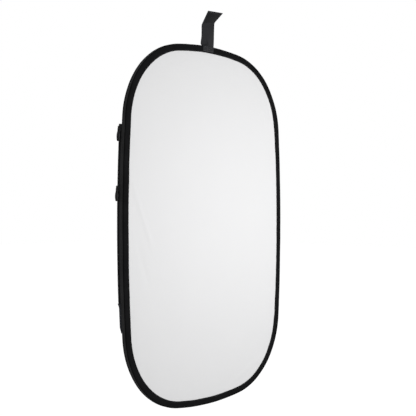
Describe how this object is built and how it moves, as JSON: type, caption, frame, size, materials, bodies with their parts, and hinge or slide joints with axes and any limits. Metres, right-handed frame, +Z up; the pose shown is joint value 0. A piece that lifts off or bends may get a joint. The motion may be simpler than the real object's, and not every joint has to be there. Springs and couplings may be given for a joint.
{
  "type": "collapsible reflector panel",
  "caption": "Upright oval collapsible light reflector: sprung hoop and diffuser inside a zip-off white and black cloth cover, with a webbing tab at the top.",
  "frame": {"origin": "middle of the panel: the centre of its oval outline, halfway through its edge depth, where a reflector arm crosses", "axes": "+X across the panel, +Y from the white front face to the black back face, +Z up towards the hanging tab"},
  "size_m": [0.6064, 0.0503, 0.986],
  "materials": {
    "white_cloth": "matt plain-woven white nylon",
    "black_cloth": "matt plain-woven black nylon",
    "silver_lining": "metallised silver cloth",
    "gold_lining": "metallised gold cloth",
    "diffuser_cloth": "thin translucent white cloth",
    "binding_tape": "ribbed black binding tape",
    "gusset_cloth": "black woven cloth, a little lighter than the binding",
    "sleeve_tape": "black nylon tape",
    "zip_tape": "black woven zip tape",
    "zip_coil": "satin black nylon coil",
    "garage_cloth": "smooth black cloth with a bluish cast",
    "slider_metal": "semi-gloss black enamel on die-cast zinc",
    "pull_metal": "semi-gloss black enamel on die-cast zinc",
    "tab_webbing": "ribbed black webbing",
    "hook_pad": "black hook-and-loop pile",
    "spring_steel": "blued flat spring steel",
    "ferrule_metal": "plain pressed aluminium"
  },
  "bodies": {
    "cover": {"hoop_band": "spring_steel", "hoop_ferrule": "ferrule_metal", "hoop_rivets": "ferrule_metal", "core_sleeve_front": "sleeve_tape", "core_sleeve_rear": "sleeve_tape", "core_diffuser": "diffuser_cloth", "front_lining": "silver_lining", "rear_lining": "gold_lining", "front_cloth": "white_cloth", "rear_cloth": "black_cloth", "front_binding": "binding_tape", "rear_binding": "binding_tape", "edge_gusset": "gusset_cloth", "zip_tape_front": "zip_tape", "zip_tape_rear": "zip_tape", "zip_coil_front": "zip_coil", "zip_coil_rear": "zip_coil", "zip_top_stop": "zip_coil", "zip_bottom_stop": "zip_coil", "zip_welt": "gusset_cloth", "zip_garage": "garage_cloth", "tab_patch": "tab_webbing"},
    "upper_slider": {"upper_slider_body": "slider_metal", "upper_slider_base": "slider_metal"},
    "upper_pull": {"upper_pull": "pull_metal"},
    "lower_slider": {"lower_slider_body": "slider_metal", "lower_slider_base": "slider_metal"},
    "lower_pull": {"lower_pull": "pull_metal"},
    "tab": {"tab_strap": "tab_webbing"},
    "tab_tip": {"tab_end": "tab_webbing", "tab_pad": "hook_pad"}
  },
  "joints": [
    {"name": "upper_slider_travel", "type": "hinge", "parent": "cover", "child": "upper_slider", "pos_m": [3.6, 0, 0], "axis": [0, 1, 0], "range_deg": [-1.12, 0]},
    {"name": "upper_pull_swing", "type": "hinge", "parent": "upper_slider", "child": "upper_pull", "pos_m": [-0.2987, 0.01, 0.22699], "axis": [0, 1, 0], "range_deg": [0, 170]},
    {"name": "lower_slider_travel", "type": "hinge", "parent": "cover", "child": "lower_slider", "pos_m": [3.6, 0, 0], "axis": [0, 1, 0], "range_deg": [-3.41, 0]},
    {"name": "lower_pull_swing", "type": "hinge", "parent": "lower_slider", "child": "lower_pull", "pos_m": [-0.30426, 0.01, 0.09012], "axis": [0, 1, 0], "range_deg": [0, 170]},
    {"name": "tab_bend", "type": "hinge", "parent": "cover", "child": "tab", "pos_m": [-0.009, -0.0083, 0.45145], "axis": [1, 0, 0], "range_deg": [-85, 85], "stiffness_Nm_per_rad": 0.04},
    {"name": "tab_fold", "type": "hinge", "parent": "tab", "child": "tab_tip", "pos_m": [-0.009, -0.0102, 0.507], "axis": [1, 0, 0], "range_deg": [-44, 110], "stiffness_Nm_per_rad": 0.015}
  ]
}
